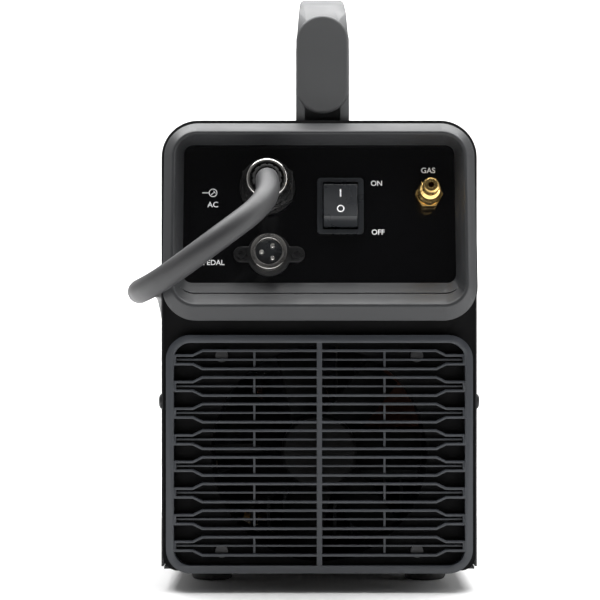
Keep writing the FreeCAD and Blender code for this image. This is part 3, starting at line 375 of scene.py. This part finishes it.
# %% Round the parts whose edges show
ROUNDED = {
    "rear_bezel": 0.8, "front_bezel": 0.8, "rear_grille": 0.4, "connector_plate": 0.5,
    "rear_housing": 0.6, "front_housing": 0.6, "rear_switch_body": 0.45,
    "rear_switch_rocker": 0.4, "handle_rear_cap": 0.6, "handle_front_cap": 0.6,
    "gland_nut": 0.3, "gland_body": 0.3, "gland_seal": 0.15, "torch_socket_shell": 0.3,
    "current_knob": 0.5, "downslope_knob": 0.35, "postflow_knob": 0.35,
    "gas_inlet": 0.2, "gas_outlet": 0.3, "output_insulators": 0.5, "mains_plug": 0.6,
    "foot_1": 0.6, "foot_2": 0.6, "foot_3": 0.6, "foot_4": 0.6, "pedal_socket_pins": 0.6,
}
for name, width in ROUNDED.items():
    soften(name, width)
print("rounded:", len(ROUNDED))

# %% [markdown]
# The handle's two ends are rounded like its caps. On a copy of the handle, each
# end is trimmed by flat cuts that lie round the cap's arch, and lean back.

# %% Trim the handle's ends round their caps
handle = welded_copy("handle_body")
arch = Vector((1.9, 168.0, 297.4))
arch_radius = 14.4
end_lean = 0.7
cut_step = 24
pick(handle)
bpy.ops.object.mode_set(mode="EDIT")
for end in (-1, 1):
    for step in range(-3, 4):
        angle = math.radians(cut_step * step)
        out = Vector((math.sin(angle), 0, math.cos(angle)))
        touch = Vector((arch.x, end * arch.y, arch.z)) + arch_radius * out
        bpy.ops.mesh.select_all(action="SELECT")
        bpy.ops.mesh.bisect(
            plane_co=touch * MM,
            plane_no=(out + Vector((0, end * end_lean, 0))).normalized(),
            use_fill=True, clear_outer=True)
bpy.ops.mesh.select_all(action="SELECT")
bpy.ops.mesh.remove_doubles(threshold=0.00002)
bpy.ops.object.mode_set(mode="OBJECT")
round_edges(handle, 0.8)
finish_piece(handle, "handle_body_rounded", slots["handle_body"])
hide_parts("handle_body")
print("handle faces:", len(handle.data.polygons))

# %% [markdown]
# ## Turned metal
# A plated ring at the cable gland's mouth is a painted highlight. It gives the bright line
# that the glossy black nut's tip catches all round.
# The pedal socket is a plated barrel on a black flange. A turned ring is a small outline
# carried once round an axis, so it is made with the spin operator and then welded.

# %% A helper that turns an outline into a ring


def turned(outline, steps=64):
    """Spin an outline of radius and height pairs, in millimetres, about Z."""
    clear_selection()
    bpy.ops.mesh.primitive_circle_add(vertices=len(outline), radius=MM)
    piece = bpy.context.object
    for corner, (radius, height) in zip(piece.data.vertices, outline):
        corner.co = Vector((radius, 0, height)) * MM
    bpy.ops.object.mode_set(mode="EDIT")
    bpy.ops.mesh.select_all(action="SELECT")
    bpy.ops.mesh.spin(steps=steps, angle=2 * math.pi, center=(0, 0, 0), axis=(0, 0, 1))
    bpy.ops.mesh.select_all(action="SELECT")
    bpy.ops.mesh.remove_doubles(threshold=0.000005)
    bpy.ops.mesh.normals_make_consistent(inside=False)
    bpy.ops.object.mode_set(mode="OBJECT")
    return piece


# %% The plated ring round the gland's mouth, a painted highlight of the nut's glossy tip
highlight_ring_outline = [(8.7, 19.2), (9.5, 20.3), (10.6, 19.9), (11.1, 18.9), (10.4, 18.6)]
ring = turned(highlight_ring_outline)
round_edges(ring, 0.15)
finish_piece(ring, "gland_highlight_ring", "socket_metal", gland)
print("gland ring:", len(ring.data.polygons), "faces")

# %% Split the pedal socket into a plated barrel and a black flange
pedal = spot(rear_plate, -27, -16.9)
barrel = welded_copy("pedal_socket_shell")
to_pedal = pedal.inverted()
barrel_radius = 9.9
flange_low, flange_high = -0.1, 2.1
pick(barrel)
bpy.ops.object.mode_set(mode="EDIT")
shape = bmesh.from_edit_mesh(barrel.data)
for face in shape.faces:
    corners = [to_pedal @ corner.co / MM for corner in face.verts]
    reach = max(math.hypot(corner.x, corner.y) for corner in corners)
    in_flange = all(flange_low < corner.z < flange_high for corner in corners)
    face.select = reach > barrel_radius and in_flange
bmesh.update_edit_mesh(barrel.data)
bpy.ops.mesh.separate(type="SELECTED")
bpy.ops.object.mode_set(mode="OBJECT")
flange = [o for o in bpy.context.selected_objects if o is not barrel][0]
for piece, name, slot_name, width in (
    (barrel, "pedal_socket_barrel", "socket_metal", 0.9),
    (flange, "pedal_socket_flange", "black_steel", 0.3),
):
    round_edges(piece, width)
    finish_piece(piece, name, slot_name)
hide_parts("pedal_socket_shell")
print("flange faces:", len(flange.data.polygons))

# %% [markdown]
# ## Cover screws
# Eight pan-head screws hold the cover. A dome with a cross recess is turned once
# and copied, each copy with its own mesh.

# %% Make one screw head and copy it to its places


def cross_screw(radius, height):
    """A domed head whose recess is cut by two crossed blocks."""
    dome = [(0, 0), (radius, 0), (radius, height * 0.35), (radius * 0.86, height * 0.75),
            (radius * 0.5, height), (0, height)]
    head = turned(dome, 40)
    for turn in (0, math.pi / 2):
        clear_selection()
        bpy.ops.mesh.primitive_cube_add(size=1, location=(0, 0, height * MM))
        blade = bpy.context.object
        long, thick = radius * 1.1, radius * 0.22
        blade.data.transform(Matrix.Diagonal((long * MM, thick * MM, height * MM, 1)))
        blade.data.transform(Matrix.Rotation(turn, 4, "Z"))
        pick(head)
        recess = head.modifiers.new("recess", "BOOLEAN")
        recess.object = blade
        recess.solver = "EXACT"
        bpy.ops.object.modifier_apply(modifier=recess.name)
        bpy.data.objects.remove(blade)
    pick(head)
    bpy.ops.object.shade_smooth_by_angle(angle=math.radians(40))
    return head


def copy_of(piece):
    """A copy with its own mesh."""
    other = piece.copy()
    other.data = piece.data.copy()
    bpy.context.scene.collection.objects.link(other)
    return other


def side_frame(side, y, z, skin=85.5):
    """A frame on the cover's side whose third axis points away from the machine."""
    turn = Matrix.Rotation(side * math.pi / 2, 4, "Y")
    return Matrix.Translation(Vector((side * skin, y, z)) * MM) @ turn


screw_places = []
for side in (-1, 1):
    for y, z in ((-171, 101.6), (171, 101.6), (-80, 22), (80, 22)):
        screw_places.append(side_frame(side, y, z))
model_screw = cross_screw(4, 1.6)
for number, place in enumerate(screw_places):
    head = copy_of(model_screw)
    finish_piece(head, f"cover_screw_{number + 1}", "black_steel", place)
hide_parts("cover_screws")
bpy.data.objects.remove(model_screw)
throat_screw = cross_screw(3, 1.4)
finish_piece(throat_screw, "handle_screw", "black_steel",
             Matrix.Translation(Vector((1.9, -158, 254.0)) * MM))

# %% [markdown]
# ## Printed marks
# Each fitting has a plain white word or sign beside it, printed on the plate. A
# text object gives the words: it is made a mesh, five hundredths of a millimetre
# thick, before it is carried to its place. Signs are small bars and rings.

# %% Helpers for words, bars and rings
INK = 0.05


def word(text, u, v, size, align="CENTER"):
    """A printed word on a panel's plane, u and v in millimetres."""
    clear_selection()
    bpy.ops.object.text_add(location=(0, 0, 0))
    piece = bpy.context.object
    piece.data.body = text
    piece.data.size = size * MM
    piece.data.align_x = align
    piece.data.align_y = "CENTER"
    piece.data.extrude = INK * MM
    piece.data.offset = 0.05 * MM
    bpy.ops.object.convert(target="MESH")
    piece = bpy.context.object
    piece.data.transform(Matrix.Translation(Vector((u, v, 0)) * MM))
    return piece


def bar(u, v, long, thick, turn=0.0):
    """A printed bar with its ends slightly rounded."""
    clear_selection()
    bpy.ops.mesh.primitive_cube_add(size=1)
    piece = bpy.context.object
    piece.data.transform(Matrix.Diagonal((long * MM, thick * MM, 2 * INK * MM, 1)))
    round_edges(piece, 0.04)
    piece.data.transform(Matrix.Rotation(math.radians(turn), 4, "Z"))
    piece.data.transform(Matrix.Translation(Vector((u, v, 0)) * MM))
    return piece


def hoop(u, v, radius, thick, stretch=1.0):
    """A printed ring, taller than wide where stretch is above one."""
    half = thick / 2
    inner, outer = radius - half, radius + half
    piece = turned([(inner, -INK), (outer, -INK), (outer, INK), (inner, INK)], 40)
    piece.data.transform(Matrix.Diagonal((1, stretch, 1, 1)))
    piece.data.transform(Matrix.Translation(Vector((u, v, 0)) * MM))
    return piece


def print_group(name, parts, place, slot_name="white_print", body="machine"):
    """Join the marks of one label and print them on a panel."""
    clear_selection()
    for part in parts:
        part.select_set(True)
    bpy.context.view_layer.objects.active = parts[0]
    if len(parts) > 1:
        bpy.ops.object.join()
    return finish_piece(bpy.context.object, name, slot_name, place, body)


# %% Marks on the rear panel
print_group("mains_marks", [
    hoop(-57.4, 17.6, 2.1, 0.42),
    bar(-61.2, 17.6, 4.0, 0.42),
    bar(-57.6, 17.2, 2.4, 0.4, 40),
    bar(-56.6, 18.0, 1.8, 0.4, -55),
    word("AC", -57.4, 10.9, 4.3),
], rear_plate)
print_group("pedal_marks", [
    bar(-57.0, -14.6, 7.2, 0.45),
    bar(-57.6, -12.4, 6.4, 0.45, 16),
    bar(-53.9, -13.0, 2.6, 0.45, 90),
    word("PEDAL", -56.7, -21.2, 3.95),
], rear_plate)
print_group("switch_marks", [
    word("ON", 31.0, 22.8, 4.0),
    word("OFF", 31.6, -4.4, 4.0),
], rear_plate)
print_group("gas_marks", [word("GAS", 59, 30.0, 4.2)], rear_plate)

# %% Marks on the rocker, which tilt with it
rocker_rest = math.radians(-12)
rocker_place = spot(rear_plate, 11.4, 10, -2) @ Matrix.Rotation(rocker_rest, 4, "X")
lean = math.atan2(1.8, 9.4)
arm = 4.7
rise = 7.2 + arm * math.tan(lean)
for name, way, part in (
    ("rocker_mark_on", 1, bar(0, 0, 0.8, 4.2)),
    ("rocker_mark_off", -1, hoop(0, 0, 1.7, 0.6, 1.2)),
):
    place = rocker_place @ Matrix.Translation(Vector((0, arm * way, rise)) * MM)
    print_group(name, [part], place @ Matrix.Rotation(lean * way, 4, "X"), body="rocker")
print("rocker marked")

# %% Dial scales and words on the front panel
SCALE_START = 240
SCALE_SWEEP = 300


def scale_marks(u, v, radius, count, tick):
    """Ticks from -150 to +150 degrees round a knob, clockwise."""
    marks = []
    for i in range(count):
        angle = math.radians(SCALE_START - SCALE_SWEEP * i / (count - 1))
        middle = radius + tick / 2
        across, up = u + middle * math.cos(angle), v + middle * math.sin(angle)
        marks.append(bar(across, up, tick, 0.5, math.degrees(angle)))
    return marks


dial_u, dial_v = 38, 4
ticks = 11
number_radius = 25.5
dial = scale_marks(dial_u, dial_v, 20, ticks, 2.2)
for i in range(0, ticks, 2):
    angle = math.radians(SCALE_START - SCALE_SWEEP / (ticks - 1) * i)
    across = dial_u + number_radius * math.cos(angle)
    up = dial_v + number_radius * math.sin(angle)
    dial.append(word(str(i), across, up, 3.6))
print_group("current_scale", dial + [word("A", dial_u, -23.5, 4.5)], front_plate)
for u, name, mark in ((-52, "downslope_scale", "\\"), (-22, "postflow_scale", "s")):
    marks = scale_marks(u, -14, 10.6, 7, 1.6)
    print_group(name, marks + [word(mark, u, -28, 4)], front_plate)
print_group("button_marks", [
    word("AC / DC", 4, 38.6, 2.8),
    word("2T / 4T", 4, 20.6, 2.8),
    word("A", -4.6, 27, 4.5),
], front_plate)
print_group("output_signs", [
    bar(-48, -4.5, 5, 1), bar(48, -4.5, 5, 1), bar(48, -4.5, 5, 1, 90),
], spot(LOW_FRONT, 0, 0, 3.02))

# %% White pointers on the knobs
for name, u, v, reach, top in (
    ("current_knob", dial_u, dial_v, 13.0, 16.0),
    ("downslope_knob", -52, -14, 4.2, 11.0),
    ("postflow_knob", -22, -14, 4.2, 11.0),
):
    pointer = bar(0, reach / 2 + 0.6, 0.9, reach - 1.2)
    print_group(name + "_pointer", [pointer], spot(front_plate, u, v, top), body=name)
print("front panel printed")

# %% [markdown]
# ## Display digits
# The display is off, so its seven-segment figures are only just visible through
# the dark window. One figure is seven bars; a loop sets three of them.

# %% Dim figures in the display
FIGURE = (
    (0, 7, 0), (0, 0, 0), (0, -7, 0),
    (-4, 3.5, 90), (4, 3.5, 90), (-4, -3.5, 90), (4, -3.5, 90),
)
first_u, figure_v = -52, 27
figure_pitch = 15
segments = []
for column in range(3):
    u = first_u + figure_pitch * column
    for du, dv, turn in FIGURE:
        segments.append(bar(u + du, figure_v + dv, 5.6, 1.1, turn))
print_group("display_figures", segments, spot(front_plate, 0, 0, 1.42), "red_print")

# %% [markdown]
# ## Studio
# A pale sweep runs under the machine and curves up behind it, so there is no
# horizon. A wide softbox overhead lights the top edges. A strip lamp on the right
# lights that side of the bezel, and a much weaker one stands on the left.

# %% Build the sweep
clear_selection()
bpy.ops.mesh.primitive_plane_add(size=8, location=(0, 0.6, -0.0003))
sweep = bpy.context.object
sweep.name = "studio_sweep"
bpy.ops.object.transform_apply(location=True, rotation=True, scale=True)
bpy.ops.object.mode_set(mode="EDIT")
bpy.ops.mesh.select_mode(type="EDGE")
bpy.ops.mesh.select_all(action="DESELECT")
shape = bmesh.from_edit_mesh(sweep.data)
far = max(corner.co.y for corner in shape.verts)
for edge in shape.edges:
    edge.select = all(corner.co.y > far - 0.01 for corner in edge.verts)
bmesh.update_edit_mesh(sweep.data)
bpy.ops.mesh.extrude_region_move(TRANSFORM_OT_translate={"value": (0, 0, 5)})
bpy.ops.object.mode_set(mode="OBJECT")
fold = sweep.modifiers.new("sweep", "BEVEL")
fold.width = 2.0
fold.segments = 16
fold.limit_method = "ANGLE"
bpy.ops.object.modifier_apply(modifier=fold.name)
bpy.ops.object.shade_smooth()
paper = bpy.data.materials.new("studio_paper")
paper.use_nodes = True
paper_shader = paper.node_tree.nodes["Principled BSDF"]
paper_shader.inputs["Base Color"].default_value = (0.93, 0.93, 0.93, 1)
paper_shader.inputs["Roughness"].default_value = 0.9
sweep.data.materials.append(paper)

# %% Hang the softboxes


def softbox(name, place, target, width, height, power):
    """A rectangular lamp aimed at a point."""
    light = bpy.data.lights.new(name, "AREA")
    light.shape = "RECTANGLE"
    light.size = width
    light.size_y = height
    light.energy = power
    lamp = bpy.data.objects.new(name, light)
    bpy.context.scene.collection.objects.link(lamp)
    lamp.location = place
    aim = Vector(target) - Vector(place)
    lamp.rotation_euler = aim.to_track_quat("-Z", "Y").to_euler()
    return lamp


machine_middle = (0, -0.1, 0.15)
softbox("overhead_softbox", (0, 0.15, 1.6), (0, 0, 0.2), 2.2, 1.6, power=75)
softbox("left_strip", (-1.6, -0.5, 0.7), machine_middle, 0.5, 1.4, power=2)
softbox("right_strip", (1.6, -0.5, 0.7), machine_middle, 0.5, 1.4, power=9)
softbox("backdrop_softbox", (0, 1.9, 2.6), (0, 4.6, 1.2), 2.5, 1.5, power=150)

# %% [markdown]
# The room's own light is dimmer from the front than from behind, as in a studio
# where the lamps stand round and above the set. A glossy black panel then has
# little to mirror and stays black. The gradient follows the light's direction.

# %% Grade the room's light
world = bpy.data.worlds.new("studio_world")
bpy.context.scene.world = world
world.use_nodes = True
room = world.node_tree
sky = room.nodes["Background"]
sky.inputs["Color"].default_value = (1, 1, 1, 1)
heading = add_node(room, "ShaderNodeTexCoord", -900, 0)
parts = add_node(room, "ShaderNodeSeparateXYZ", -700, 0)
grade = add_node(
    room, "ShaderNodeMapRange", -500, 0,
    From_Min=-0.9, From_Max=0.5, To_Min=0.04, To_Max=0.55)
rays = add_node(room, "ShaderNodeLightPath", -500, 300)
seen = add_node(room, "ShaderNodeMix", -260, 0)
seen.inputs["B"].default_value = 0.9
room.links.new(heading.outputs["Generated"], parts.inputs["Vector"])
room.links.new(parts.outputs["Y"], grade.inputs["Value"])
room.links.new(rays.outputs["Is Camera Ray"], seen.inputs["Factor"])
room.links.new(grade.outputs["Result"], seen.inputs["A"])
room.links.new(seen.outputs["Result"], sky.inputs["Strength"])
